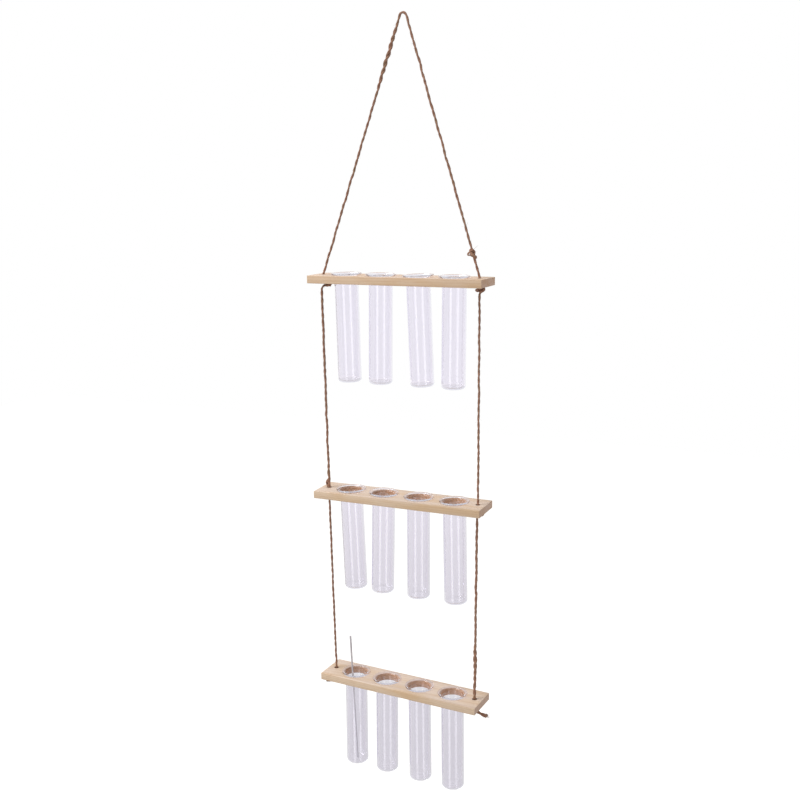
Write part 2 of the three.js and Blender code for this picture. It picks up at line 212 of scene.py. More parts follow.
def new_piece(name, corners, faces, uvs, material, body):
    """A mesh piece from millimetre corners, which rides on a body."""
    mesh = bpy.data.meshes.new(name)
    mesh.from_pydata([c * MM for c in corners], [], faces)
    if uvs:
        layer = mesh.uv_layers.new(name="lay")
        for loop in mesh.loops:
            layer.data[loop.index].uv = uvs[loop.vertex_index]
    mesh.polygons.foreach_set("use_smooth", [True] * len(faces))
    mesh.materials.append(material)
    made = bpy.data.objects.new(name, mesh)
    bpy.context.scene.collection.objects.link(made)
    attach(made, body)
    return made


def lay_twine(name, points, body, nodes, part_plies=None, phase=0.0, ends=()):
    """Two plies laid round a route. part_plies gives how far apart they open and how
    thick they are at a distance along it. ends holds each further short route. Each
    route runs on a little at both ends, so that the twine shows no joint where it meets
    the next length of it."""
    corners, faces, uvs = [], [], []
    for number, route in enumerate([points, *ends]):
        first = route[0] + (route[0] - route[1]).normalized() * LAP
        last = route[-1] + (route[-1] - route[-2]).normalized() * LAP
        line = along([first, *route, last], RING_STEP)
        axes = travelling_axes(line)
        for ply in (0, 1):
            start = len(corners)
            for i, (point, (_, side, other)) in enumerate(zip(line, axes)):
                run = i * RING_STEP
                open_by, fat = part_plies(run) if part_plies else (1.0, 1.0)
                fat *= 0.7 if number else 1.0
                uneven = noise.noise(Vector((run / 6, ply * 7.3 + phase, number * 3.1)))
                slack = noise.noise(Vector((run / 11, ply * 3.7 - phase, 9.4)))
                close = min(1.0, 0.85 + i * 0.05, 0.85 + (len(line) - 1 - i) * 0.05)
                angle = phase + 2 * math.pi * run / PLY_TURN + math.pi * ply + 1.2 * slack
                centre = point + (side * math.cos(angle) + other * math.sin(angle)) * (
                    PLY_OFFSET * open_by)
                radius = PLY_RADIUS * fat * close * (1 + 0.22 * uneven)
                for k in range(PLY_SIDES):
                    turn = 2 * math.pi * k / PLY_SIDES
                    ridge = 1 + 0.12 * noise.noise(Vector((k * 1.7, run / 1.6, ply * 5 + phase)))
                    corners.append(centre + (side * math.cos(turn) + other * math.sin(turn))
                                   * radius * ridge)
                    uvs.append((abs(k / PLY_SIDES * 2 - 1), run))
            rings = len(line)
            for i in range(rings - 1):
                for k in range(PLY_SIDES):
                    a = start + i * PLY_SIDES + k
                    b = start + i * PLY_SIDES + (k + 1) % PLY_SIDES
                    faces.append((a, b, b + PLY_SIDES, a + PLY_SIDES))
            faces.append(tuple(start + k for k in reversed(range(PLY_SIDES))))
            last_ring = start + (rings - 1) * PLY_SIDES
            faces.append(tuple(last_ring + k for k in range(PLY_SIDES)))
    made = new_piece(name, corners, faces, uvs, jute, body)
    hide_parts(*nodes)
    return made


def lay_hairs(name, routes, body, per_mm=1.5, reach=(1.0, 3.6), seed=1, strays=()):
    """Single fibres that stand out from the twine along its routes. strays holds a path
    and a thickness for each longer one."""
    dice = random.Random(seed)
    corners, faces = [], []

    def hair(path, thickness):
        start = len(corners)
        for i, point in enumerate(path):
            heading = (path[min(i + 1, len(path) - 1)] - path[max(i - 1, 0)]).normalized()
            side = heading.cross(Vector((0.3, 0.5, 0.81))).normalized()
            other = heading.cross(side)
            radius = thickness / 2 * (1 - 0.6 * i / (len(path) - 1))
            for k in range(3):
                turn = 2 * math.pi * k / 3
                corners.append(point + (side * math.cos(turn) + other * math.sin(turn)) * radius)
        for i in range(len(path) - 1):
            for k in range(3):
                a, b = start + 3 * i + k, start + 3 * i + (k + 1) % 3
                faces.append((a, b, b + 3, a + 3))
        faces.append((start + 2, start + 1, start))
        tip = start + 3 * (len(path) - 1)
        faces.append((tip, tip + 1, tip + 2))

    for route in routes:
        line = along(route, RING_STEP)
        axes = travelling_axes(line)
        for _ in range(round(len(line) * RING_STEP * per_mm)):
            i = dice.randrange(len(line))
            heading, side, other = axes[i]
            turn = dice.uniform(0, 2 * math.pi)
            out = side * math.cos(turn) + other * math.sin(turn)
            lean = heading * dice.choice((-1, 1)) * dice.uniform(0.5, 2.2)
            length = dice.uniform(*reach) * dice.uniform(0.4, 1.0)
            way = (out + lean).normalized()
            bend = Vector([dice.uniform(-0.4, 0.4) for _ in range(3)])
            root = line[i] + out * TWINE * 0.32
            hair([root + (way * t + bend * t * t) * length for t in (0, 0.35, 0.7, 1.0)],
                 dice.uniform(0.06, 0.12))
    for path, thickness in strays:
        hair(path, thickness)
    return new_piece(name, corners, faces, None, fibre, body)


# The shelves' places: each is hung in turn below the one above, and the lowest is
# twisted a little on its cords. The overhand knots and the twine in the cord holes
# share these places, so they come first.
SHELF_LENGTH, SHELF_WIDTH, SHELF_THICK = 190.0, 40.0, 8.0
CORD_HOLE_X = 86.25
PLACES = {
    "top": Matrix.Translation((-6.8, 0, -246.0)),
    "middle": Matrix.Translation((-6.8, 0, -476.5)),
    "bottom": Matrix.Translation((-6.8, 0, -693.5)) @ Matrix.Rotation(math.radians(-3.4), 4, "Z"),
}


# The stopper knots: each is an overhand knot in the twine, pulled up flat against the
# underside of the shelf, so that it can't pass back through the hole. The twine runs
# twice round a ring and passes over and under itself three times.
KNOT_TWINE = 2.1
STRANDS_APART = KNOT_TWINE + 0.45
RING, SWAY = 1.164, 0.531
ENTRY, OPENING = 6.0, 22.0
KNOT_LEAD = 3.6
# the room that the part leaves between two pieces that rest on each other
SEAT_GAP = 0.3


def flat_knot(place, turn):
    """A point of the knot: its place along the twine and the knot's turn in degrees."""
    run = math.radians(place)
    around = 2 * run + math.radians(turn)
    radius = RING + SWAY * math.cos(3 * run)
    return STRANDS_APART * Vector((radius * math.cos(around), radius * math.sin(around),
                                   SWAY * math.sin(3 * run)))


def stopper(x, turn, exit=0.0, tail=()):
    """The route of the twine in a cord hole and of the knot under it, in the shelf's
    own frame, and the point below it where the next cord swings."""
    entry, leave = flat_knot(ENTRY, turn), flat_knot(-ENTRY, turn)
    drop = SHELF_THICK + SEAT_GAP + KNOT_TWINE / 2 + SWAY * STRANDS_APART
    middle = Vector((x - entry.x, -entry.y, -drop))
    route = [Vector((x, 0, z)) for z in (-0.6, -SHELF_THICK / 2, -SHELF_THICK)]
    route += [flat_knot(OPENING + (360 - 2 * OPENING) * i / 24, turn) + middle for i in range(25)]
    end = route[-1].z
    if tail:
        return route + [Vector((x + a, b, end + c)) for a, b, c in tail], None
    low = Vector((x + exit, 0, end - KNOT_LEAD))
    bend = Vector(((leave.x + middle.x + low.x) / 2, (leave.y + middle.y) / 2,
                   end - KNOT_LEAD / 2))
    return route + [bend, low], low + Vector((0, 0, -TWINE / 2 - SEAT_GAP))


# each knot's turn in degrees, and how the twine leaves it: that far sideways to the next
# cord, or by the points of a free tail
KNOTS = {
    ("top", "left"): dict(turn=225, exit=-2.4),
    ("top", "right"): dict(turn=105, exit=-0.2),
    ("middle", "left"): dict(turn=240, exit=-0.2),
    ("middle", "right"): dict(turn=255, exit=-0.9),
    ("bottom", "left"): dict(turn=255, tail=((-2.4, -3.2, -2.5), (-5.0, -6.6, -3.2),
                                             (-7.0, -9.3, -2.3))),
    ("bottom", "right"): dict(turn=30, tail=((3.0, 0.2, -2.5), (7.4, 0.5, -4.2),
                                             (10.6, 0.7, -4.9), (13.2, 0.9, -5.2))),
}
# how long the tail on the right is swollen, and how much of its end is frayed
TAIL_SWOLLEN, TAIL_FRAYED = 18, 4
swings = {}
for number, ((tier, side), facts) in enumerate(KNOTS.items()):
    x = CORD_HOLE_X if side == "right" else -CORD_HOLE_X
    route, swing = stopper(x, **facts)
    place = PLACES[tier]
    route = [place @ p for p in route]
    if swing:
        swings[tier, side] = place @ swing
        route.append(swings[tier, side])
    line = along(route, RING_STEP)
    whole = (len(line) - 1) * RING_STEP + 2 * LAP

    def drawn_in(run):
        """The twine is squeezed in the knot. The tail on the right swells and frays."""
        to_end = whole - run
        if (tier, side) != ("bottom", "right") or to_end > TAIL_SWOLLEN:
            return 0.9, 0.9
        fray = max(0.0, 1 - to_end / TAIL_FRAYED)
        return 1.3 + 1.2 * fray, 1.5 + 0.3 * fray

    name = f"{tier}_{side}_knot"
    lay_twine(f"{name}_twine", route, f"{tier}_tier", [name], drawn_in, number * 1.3)
    strays = []
    if (tier, side) == ("bottom", "right"):
        # the tail ends in a brush of short thick fibres
        way = (line[-1] - line[-8]).normalized()
        dice = random.Random(5)
        for _ in range(40):
            spread = Vector([dice.uniform(-1, 1) for _ in range(3)])
            root = line[-5] + spread * 1.2
            strays.append(([root, root + (way * 1.2 + spread * 0.5) * 1.4,
                            root + (way + spread * 0.8) * 3.0], dice.uniform(0.25, 0.45)))
    lay_hairs(f"{name}_hairs", [route], f"{tier}_tier", 1.8, seed=20 + number, strays=strays)


# The four cords between the shelves: each hangs from the knot above and goes down
# into the cord hole below. The weight of the tubes keeps them nearly straight. A
# short end is tucked beside the left one where it enters the middle shelf.
def held(a, b, wander, seed):
    """A route from a to b that is pulled straight but keeps the twine's slight kinks."""
    count = max(4, round((b - a).length / 9))
    points = []
    for i in range(count + 1):
        t = i / count
        ease = math.sin(math.pi * t) ** 0.5 if 0 < t < 1 else 0
        off = Vector((noise.noise(Vector((seed, i * 0.7, 0))),
                      noise.noise(Vector((seed, i * 0.7, 5))), 0))
        points.append(a.lerp(b, t) + off * wander * ease)
    return points


def loosened(run):
    """The last cord is thicker than the others. From 138 mm down its plies have come
    loose, most of all at 155 mm."""
    swell = max(0.0, 1 - ((run - 155) / 16) ** 2)
    after = min(1.0, max(0.0, (run - 138) / 8))
    return 1 + 0.5 * after + 0.7 * swell, 1.22 + 0.14 * after + 0.2 * swell


def bunched(run):
    """The first cord is a little thick all along, and thicker from 190 mm down, toward
    the tucked end."""
    return 1 + 0.3 * (run > 190), 1.14 + 0.2 * min(1.0, max(0.0, (run - 192) / 12))


for number, (upper, lower, side) in enumerate([
        ("top", "middle", "left"), ("top", "middle", "right"),
        ("middle", "bottom", "left"), ("middle", "bottom", "right")]):
    start = swings[upper, side]
    x = CORD_HOLE_X if side == "right" else -CORD_HOLE_X
    end = PLACES[lower] @ Vector((x, 0, 0))
    route = held(start, end, 0.8, 3.0 + number)
    name = f"{lower}_{side}_cord"
    body = f"{lower}_cords"
    laid = {("middle", "left"): bunched, ("bottom", "right"): loosened}.get((lower, side))
    cord = lay_twine(f"{name}_twine", route, body, [name], laid, 0.7 + number)
    if (lower, side) == ("middle", "left"):
        tuck = [end + Vector(p) for p in
                ((-1.3, -0.5, 0.4), (-1.8, -0.6, 3.0), (-2.8, -0.6, 5.8), (-1.6, -0.4, 7.6),
                 (-0.4, -0.2, 9.2))]
        lay_twine("tucked_end_twine", tuck, body, [], phase=2.6)
    [p * MM for p in along(route, 1.0)]
    strays = []
    if (lower, side) == ("bottom", "right"):
        # strands that have sprung loose: how far down the cord, their steps, how thick
        for share, steps, thickness in (
                (0.2, ((0, 0, 0), (5.0, -1, -2.5), (9.5, -2, -7), (12.5, -2, -12)), 0.16),
                (0.33, ((0, 0, 0), (2.4, -1, 1.4), (3.2, -1, 3.4)), 0.3),
                (0.93, ((0, 0, 0), (3.2, -1, 1.6), (5.6, -1, 4.6)), 0.3),
                (0.86, ((0, 0, 0), (2.6, -1, 0.8), (3.6, -1, 2.4)), 0.25)):
            strays.append(([start.lerp(end, share) + Vector(step) for step in steps], thickness))
    lay_hairs(f"{name}_hairs", [route], body, seed=40 + number, strays=strays)


# The hanging loop: one length of twine up from the left cord hole, over the hook and
# down to the knot that joins its two ends above the right hole. High on the left leg
# the plies have come apart and lie side by side.
def overhand(turn, axis):
    """An overhand knot pulled tight along its twine, from sine and cosine series."""
    kx = (2 * -0.696 - 3 * -0.433, -0.696, -0.433)
    ky = (0.209, -0.728, 0.358)
    kz = (-1.117, -0.456, -0.109)
    aim = Vector((0, 0, 1)).rotation_difference(axis)
    spin = Quaternion((0, 0, 1), math.radians(turn))
    points = []
    for i in range(27):
        t = 1 - 2 * i / 26
        a = math.pi * t
        x = sum(kx[n - 1] * math.sin(n * a) for n in (1, 2, 3))
        y = sum(ky[n - 1] * (1 - (-1) ** n * math.cos(n * a)) for n in (1, 2, 3))
        z = 1.066 * t + sum(kz[n - 1] * math.sin(n * a) for n in (1, 2, 3))
        points.append(aim @ (spin @ (Vector((x, y, z)) * STRANDS_APART)))
    return points


BEND = 3.5
JOINING_HEIGHT, JOINING_LEAD, JOINING_GAP = 23.5, 1.4, 0.1
top = PLACES["top"]
left_hole = top @ Vector((-CORD_HOLE_X, 0, 0))
right_hole = top @ Vector((CORD_HOLE_X, 0, 0))
bend_centre = Vector((0, 0, TWINE / 2 - BEND))


def bend_angle(hole):
    """Where a straight leg from a cord hole meets the bend over the hook."""
    away = hole - bend_centre
    turn = math.acos(BEND / away.length)
    to_hole = math.atan2(away.z, away.x)
    return to_hole + turn if hole.x > 0 else to_hole - turn + 2 * math.pi


def on_bend(angle):
    """The point of the bend over the hook at this angle."""
    return bend_centre + BEND * Vector((math.cos(angle), 0, math.sin(angle)))


left_angle, right_angle = bend_angle(left_hole), bend_angle(right_hole)
bend = [on_bend(left_angle + (right_angle - left_angle) * i / 6) for i in range(7)]
leg_up = (bend[-1] - right_hole).normalized()
knot_centre = right_hole + leg_up * (JOINING_HEIGHT / leg_up.z)
joining = [p + knot_centre for p in overhand(160, leg_up)]
half_knot = (joining[0] - knot_centre).length + JOINING_LEAD + TWINE / 2
# it is pulled tight: slim across the leg and long along it
joining = [p.lerp(knot_centre, 0.32) + leg_up * (p - knot_centre).dot(leg_up) * 0.9
           for p in joining]
joining = [knot_centre + leg_up * half_knot, *joining, knot_centre - leg_up * half_knot]
above = knot_centre + leg_up * (half_knot + JOINING_GAP)
below = knot_centre - leg_up * (half_knot + JOINING_GAP)
left_leg = held(left_hole, bend[0], 0.9, 11.0)
right_leg = held(bend[-1], above, 0.9, 14.0)
loop_route = left_leg + bend[1:-1] + right_leg
leg_length = (bend[0] - left_hole).length


def parted(run):
    """High on the left leg the plies open up for some 70 mm, most of all 38 mm below
    the bend."""
    down = leg_length - run
    swell = max(0.0, 1 - ((down - 38) / 34) ** 2)
    return 1 + 1.5 * swell, 1 + 0.35 * swell


loop = lay_twine("hanging_loop_twine", loop_route, "loop", ["hanging_loop"],
                 part_plies=parted, phase=0.4)
line = along(loop_route, 1.0)
lay_twine("loop_end_twine", [right_hole, right_hole.lerp(below, 0.5), below], "loop",
          ["loop_end"], phase=2.0)
# a small pointed loop of twine that stands out of the knot on the left
ear = [knot_centre + Vector(p) for p in (
    (-0.4, -1.2, 3.4), (-2.4, -1.1, 1.8), (-5.0, -0.8, -0.6),
    (-4.6, -0.9, -1.3), (-2.0, -1.1, -1.3), (0.2, -1.2, -2.4))]
lay_twine("joining_knot_twine", joining, "loop", ["joining_knot"],
          lambda run: (1.0, 1.04), 1.1, ends=[ear])
strays = [([knot_centre + Vector(p) for p in (
    (0.6, -1.5, 4.0), (3.0, -1.5, 5.8), (5.8, -1.5, 8.0))], 0.3)]
root = knot_centre + leg_up * 27.5
strays.append(([root, root + Vector((1.6, -1.0, 1.0)), root + Vector((2.8, -1.0, 2.8))], 0.3))
root = knot_centre - leg_up * 26
strays.append(([root, root + Vector((2.0, -1.0, 1.0)), root + Vector((3.4, -1.0, 3.4))], 0.22))
lay_hairs("loop_hairs", [loop_route, joining, [right_hole, below]], "loop", seed=60,
          strays=strays)


# The shelves: planed strips of pine, 190 x 40 x 8 mm, with drilled holes and the
# edges taken off with sandpaper. The two knots under the cord holes carry each one.
TUBE_HOLE, CORD_HOLE = 28.0, 5.0
TUBE_PITCH = 40.0
DRILL_LENGTH = 20.0
SANDED_EDGE = 0.45
GROWTH_RING = 2.4
UNDER_TOP_BOARD = -360.0

# Planed pine: pale softwood, pink tan, with close growth rings as fine straight lines
# along the strip. It has a dull sheen and is darker where it is cut across. Wood fibres
# are too thin to show, so the lines between the rings are drawn 0.7 mm wide.
pine, tree, skin = blank("planed_pine")
coords = add(tree, "ShaderNodeTexCoord")
stretch = add(tree, "ShaderNodeMapping", {"Scale": (0.06, 1.0, 1.0)},
              {"Vector": coords.outputs["Object"]})
wander = add(tree, "ShaderNodeTexNoise", {"Scale": 45.0, "Detail": 3.0},
             {"Vector": stretch.outputs["Vector"]})
# growth rings round a pith that lies below and behind the strip
pith = add(tree, "ShaderNodeMapping", {"Location": (0, 0.03, 0.035), "Scale": (0.02, 1.0, 1.0)},
           {"Vector": coords.outputs["Object"]})
parts = add(tree, "ShaderNodeSeparateXYZ", links={"Vector": pith.outputs["Vector"]})
wrapped = add(tree, "ShaderNodeMath", {"operation": "WRAP", 1: 0.1, 2: -0.1},
              {0: parts.outputs["Z"]})
flat = add(tree, "ShaderNodeCombineXYZ", links={"Y": parts.outputs["Y"], "Z": wrapped.outputs[0]})
radius = add(tree, "ShaderNodeVectorMath", {"operation": "LENGTH"}, {0: flat.outputs[0]})
shifted = add(tree, "ShaderNodeMath", {"operation": "MULTIPLY_ADD", 1: 0.006},
              {0: wander.outputs["Fac"], 2: radius.outputs["Value"]})
rings = add(tree, "ShaderNodeMath", {"operation": "MULTIPLY", 1: 1 / (GROWTH_RING * MM)},
            {0: shifted.outputs[0]})
ring = add(tree, "ShaderNodeMath", {"operation": "FRACT"}, {0: rings.outputs[0]})
ring_colour = add(tree, "ShaderNodeValToRGB", links={"Fac": ring.outputs[0]})
shade(ring_colour, [(0.0, "#E9D4C2"), (0.6, "#E4CCB9"), (0.86, "#D6BAA4"), (1.0, "#E7D0BE")])
fine = add(tree, "ShaderNodeMapping", {"Scale": (0.035, 1.0, 1.0)},
           {"Vector": coords.outputs["Object"]})
pores = add(tree, "ShaderNodeTexNoise", {"Scale": 1400.0, "Detail": 3.0, "Roughness": 0.6},
            {"Vector": fine.outputs["Vector"]})
pore_colour = add(tree, "ShaderNodeValToRGB", links={"Fac": pores.outputs["Fac"]})
shade(pore_colour, [(0.35, "#DCC3AF"), (0.6, "#EBDACA")])
grain = add(tree, "ShaderNodeMix", {"data_type": "RGBA", 0: 0.4},
            {6: ring_colour.outputs["Color"], 7: pore_colour.outputs["Color"]})
# broad yellow streaks where the growth rings come up to the surface
streaking = add(tree, "ShaderNodeMapping", {"Scale": (0.15, 1.0, 1.0)},
                {"Vector": coords.outputs["Object"]})
streak = add(tree, "ShaderNodeTexNoise", {"Scale": 110.0, "Detail": 2.0},
             {"Vector": streaking.outputs["Vector"]})
streak_share = add(tree, "ShaderNodeMapRange", {"From Min": 0.46, "From Max": 0.64},
                   {"Value": streak.outputs["Fac"]})
streaked = add(tree, "ShaderNodeMix", {"data_type": "RGBA", "blend_type": "MULTIPLY",
                                       7: linear("#F8F0E2")},
               {0: streak_share.outputs["Result"], 6: grain.outputs[2]})
# end grain drinks in light and looks darker and greyer
face = add(tree, "ShaderNodeNewGeometry")
turned = add(tree, "ShaderNodeVectorTransform",
             {"vector_type": "NORMAL", "convert_from": "WORLD", "convert_to": "OBJECT"},
             {"Vector": face.outputs["Normal"]})
facing = add(tree, "ShaderNodeSeparateXYZ", links={"Vector": turned.outputs["Vector"]})
sideways = add(tree, "ShaderNodeMath", {"operation": "ABSOLUTE"}, {0: facing.outputs["X"]})
end_share = add(tree, "ShaderNodeMapRange",
                {"From Min": 0.6, "From Max": 0.98}, {"Value": sideways.outputs[0]})
end_grain = add(tree, "ShaderNodeMix", {"data_type": "RGBA", "blend_type": "MULTIPLY",
                                        7: linear("#F0E3DD")},
                {0: end_share.outputs["Result"], 6: streaked.outputs[2]})
# painted shade: the long side faces are painted a little darker and yellower, for the sheen of
# light that makes the top paler
edgewise = add(tree, "ShaderNodeMath", {"operation": "ABSOLUTE"}, {0: facing.outputs["Y"]})
side_shade_share = add(tree, "ShaderNodeMapRange",
                 {"From Min": 0.6, "From Max": 0.98}, {"Value": edgewise.outputs[0]})
edges = add(tree, "ShaderNodeMix", {"data_type": "RGBA", "blend_type": "MULTIPLY",
                                    7: linear("#FCF6E8")},
            {0: side_shade_share.outputs["Result"], 6: end_grain.outputs[2]})
# the top board is a little yellower than the two below it
place = add(tree, "ShaderNodeSeparateXYZ", links={"Vector": coords.outputs["Object"]})
upper_board = add(tree, "ShaderNodeMath", {"operation": "GREATER_THAN", 1: UNDER_TOP_BOARD * MM},
                  {0: place.outputs["Z"]})
plank = add(tree, "ShaderNodeMix", {"data_type": "RGBA", "blend_type": "MULTIPLY",
                                    7: linear("#FFFBF7")},
            {0: upper_board.outputs[0], 6: edges.outputs[2]})
relief = add(tree, "ShaderNodeBump", {"Strength": 0.25, "Distance": 0.08 * MM},
             {"Height": pores.outputs["Fac"]})
tree.links.new(plank.outputs[2], skin.inputs["Base Color"])
tree.links.new(relief.outputs["Normal"], skin.inputs["Normal"])
skin.inputs["Roughness"].default_value = 0.6
skin.inputs["Specular IOR Level"].default_value = 0.35

# Drilled pine: the drill leaves the walls of the holes rougher, warmer and darker than
# the planed faces, so each hole reads as a brown ring through the clear glass. The torn
# fibres are drawn about 1 mm wide, so that they show.
drilled, tree, skin = blank("drilled_pine_wall")
coords = add(tree, "ShaderNodeTexCoord")
fine = add(tree, "ShaderNodeMapping", {"Scale": (0.12, 1.0, 1.0)},
           {"Vector": coords.outputs["Object"]})
torn = add(tree, "ShaderNodeTexNoise", {"Scale": 900.0, "Detail": 3.0},
           {"Vector": fine.outputs["Vector"]})
torn_colour = add(tree, "ShaderNodeValToRGB", links={"Fac": torn.outputs["Fac"]})
shade(torn_colour, [(0.35, "#DBA67B"), (0.65, "#EFC6A0")])
tree.links.new(torn_colour.outputs["Color"], skin.inputs["Base Color"])
skin.inputs["Roughness"].default_value = 0.85
skin.inputs["Specular IOR Level"].default_value = 0.3

# Cord hole walls: the narrow cord holes, with the twine in them, read as dark dots, so their
# walls are painted a dark mottled brown: painted shade.
painted_shade, tree, skin = blank("painted_shade_cord_hole_wall")
coords = add(tree, "ShaderNodeTexCoord")
hole_mottle = add(tree, "ShaderNodeTexNoise", {"Scale": 700.0, "Detail": 2.0},
             {"Vector": coords.outputs["Object"]})
hole_mottle_colour = add(tree, "ShaderNodeValToRGB", links={"Fac": hole_mottle.outputs["Fac"]})
shade(hole_mottle_colour, [(0.35, "#6E4732"), (0.65, "#8E6348")])
tree.links.new(hole_mottle_colour.outputs["Color"], skin.inputs["Base Color"])
skin.inputs["Roughness"].default_value = 0.9
skin.inputs["Specular IOR Level"].default_value = 0.2


def only(obj):
    """Selects one object alone and makes it active."""
    bpy.ops.object.select_all(action="DESELECT")
    bpy.context.view_layer.objects.active = obj
    obj.select_set(True)


def copy_at(pattern, name, place):
    """A copy with its own mesh, put in its place in millimetres."""
    made = pattern.copy()
    made.data = pattern.data.copy()
    made.name = name
    made.data.name = name
    bpy.context.scene.collection.objects.link(made)
    metres = Matrix.Diagonal((MM, MM, MM, 1))
    made.data.transform(metres @ place @ metres.inverted())
    return made


bpy.ops.object.select_all(action="DESELECT")
bpy.ops.mesh.primitive_cube_add(size=1, location=(0, 0, -SHELF_THICK / 2 * MM))
shelf = bpy.context.object
shelf.name = "shelf_pattern"
shelf.data.materials.append(pine)
shelf.scale = (SHELF_LENGTH * MM, SHELF_WIDTH * MM, SHELF_THICK * MM)
bpy.ops.object.transform_apply(location=True, rotation=True, scale=True)
drills = [((i - 1.5) * TUBE_PITCH, TUBE_HOLE, 96, drilled) for i in range(4)]
# the cord holes' walls carry the painted shade
drills += [(x, CORD_HOLE, 32, painted_shade) for x in (-CORD_HOLE_X, CORD_HOLE_X)]
for x, width, sides, wall in drills:
    bpy.ops.object.select_all(action="DESELECT")
    bpy.ops.mesh.primitive_cylinder_add(vertices=sides, radius=width / 2 * MM,
                                        depth=DRILL_LENGTH * MM,
                                        location=(x * MM, 0, -SHELF_THICK / 2 * MM))
    drill = bpy.context.object
    drill.data.materials.append(wall)
    only(shelf)
    cut = shelf.modifiers.new("drill", "BOOLEAN")
    cut.operation = "DIFFERENCE"
    cut.solver = "EXACT"
    cut.material_mode = "TRANSFER"
    cut.object = drill
    bpy.ops.object.modifier_apply(modifier=cut.name)
    bpy.data.objects.remove(drill, do_unlink=True)
sanded = shelf.modifiers.new("sanded", "BEVEL")
sanded.width = SANDED_EDGE * MM
sanded.segments = 3
sanded.limit_method = "ANGLE"
sanded.angle_limit = math.radians(50)
only(shelf)
bpy.ops.object.modifier_apply(modifier=sanded.name)
bpy.ops.object.shade_smooth_by_angle(angle=math.radians(40))
for tier in ("top", "middle", "bottom"):
    board = copy_at(shelf, f"{tier}_board", PLACES[tier])
    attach(board, f"{tier}_tier")
    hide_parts(f"{tier}_shelf")
bpy.data.objects.remove(shelf, do_unlink=True)


# The test tubes: drawn glass tubes with a flat foot, a flare and a lip rolled in the
# flame, 25 mm wide and 113 mm tall. Each hangs by its flare in the hole and leans a
# little its own way.
TUBE_RADIUS, TUBE_HEIGHT, WALL, FLOOR = 12.5, 113.0, 1.2, 1.6
CORNER, FLARE, LIP = 3.6, 2.75, 1.5
# the radius of the hole's sanded edge, where the flare rests
HOLE_EDGE = 14.4
SEAT_RUN = TUBE_RADIUS + FLARE - HOLE_EDGE
SEAT_DEPTH = math.sqrt((FLARE - SEAT_GAP) ** 2 - SEAT_RUN ** 2)
LIP_TOP = FLARE + LIP - SEAT_DEPTH
FOOT = LIP_TOP - TUBE_HEIGHT
# the flame-polished glass begins at this height, and each tube tips about the pivot
POLISHED_FROM, PIVOT = -2.4, 20.0
# degrees that each shelf's tubes lean, from left to right
LEANS = {
    "top": (0.9, -1.0, 2.1, -0.5),
    "middle": (1.9, -1.5, -0.3, 1.0),
    "bottom": (-0.3, -0.6, 0.4, 0.4),
}

# Drawn soda glass: clear, with a faint lavender tint that is painted light: the lavender grey of
# the backdrop seen through it. The eye sees an even tint with straight soft streaks. Light that
# falls through it on the wood and the twine goes on as if it were not there, since such thin
# walls hold back next to nothing.
# A ray that has been mirrored more than once is let through in the same way.
glass, tree, skin = blank("drawn_soda_glass")
coords = add(tree, "ShaderNodeTexCoord")
drawn = add(tree, "ShaderNodeMapping", {"Scale": (1.0, 1.0, 0.1)},
            {"Vector": coords.outputs["Object"]})
depth = add(tree, "ShaderNodeTexNoise", {"Scale": 60.0, "Detail": 1.0},
            {"Vector": drawn.outputs["Vector"]})
# painted light: the lavender of the backdrop seen through the glass
tint = add(tree, "ShaderNodeValToRGB", links={"Fac": depth.outputs["Fac"]})
shade(tint, [(0.3, "#F2F0F6"), (0.7, "#F4F2F8")])
tree.links.new(tint.outputs["Color"], skin.inputs["Base Color"])
skin.inputs["Transmission Weight"].default_value = 1.0
skin.inputs["Roughness"].default_value = 0.02
skin.inputs["IOR"].default_value = 1.5
ray = add(tree, "ShaderNodeLightPath")
lit = add(tree, "ShaderNodeMath", {"operation": "MAXIMUM"},
          {0: ray.outputs["Is Shadow Ray"], 1: ray.outputs["Is Diffuse Ray"]})
trapped = add(tree, "ShaderNodeMath", {"operation": "GREATER_THAN", 1: 1.5},
              {0: ray.outputs["Glossy Depth"]})
passed = add(tree, "ShaderNodeMath", {"operation": "MAXIMUM"},
             {0: lit.outputs[0], 1: trapped.outputs[0]})
let_by = add(tree, "ShaderNodeBsdfTransparent", {"Color": linear("#F8F8FB")})
walls = add(tree, "ShaderNodeMixShader", links={0: passed.outputs[0], 1: skin.outputs[0],
                                               2: let_by.outputs[0]})
tree.links.new(walls.outputs[0], tree.nodes["Material Output"].inputs["Surface"])

# The flare and the lip, polished in the flame: the eye sees the wood through them nearly as it
# is, with a pale line where the glass curves. Their index is lower than glass has, and is chosen
# for that weak bending.
lip_glass = glass.copy()
lip_glass.name = "flame_polished_lip"
tree = lip_glass.node_tree
tree.nodes[skin.name].inputs["IOR"].default_value = 1.3


def arc(cx, cz, rx, rz, start, stop, steps):
    """Points of the tube's outline on an arc, round or oval, between two angles in
    degrees."""
    return [(cx + rx * math.cos(math.radians(start + (stop - start) * i / steps)),
             cz + rz * math.sin(math.radians(start + (stop - start) * i / steps)))
            for i in range(steps + 1)]


inner = TUBE_RADIUS - WALL
lip_line = TUBE_RADIUS + FLARE
profile = [(0, FOOT + 0.5), (2.0, FOOT + 0.35), (4.0, FOOT)]
profile += arc(TUBE_RADIUS - CORNER, FOOT + CORNER, CORNER, CORNER, -90, 0, 8)
profile += arc(lip_line, -SEAT_DEPTH, FLARE, FLARE, 180, 90, 8)
profile += arc(lip_line, LIP_TOP - LIP / 2, LIP / 2, LIP / 2, -80, 80, 8)
profile += arc(lip_line, -SEAT_DEPTH, lip_line - inner, LIP_TOP + SEAT_DEPTH, 90, 180, 8)
profile += arc(TUBE_RADIUS - CORNER, FOOT + FLOOR + CORNER - WALL, CORNER - WALL,
               CORNER - WALL, 0, -90, 8)
profile += [(3.0, FOOT + FLOOR), (0, FOOT + FLOOR + 0.3)]

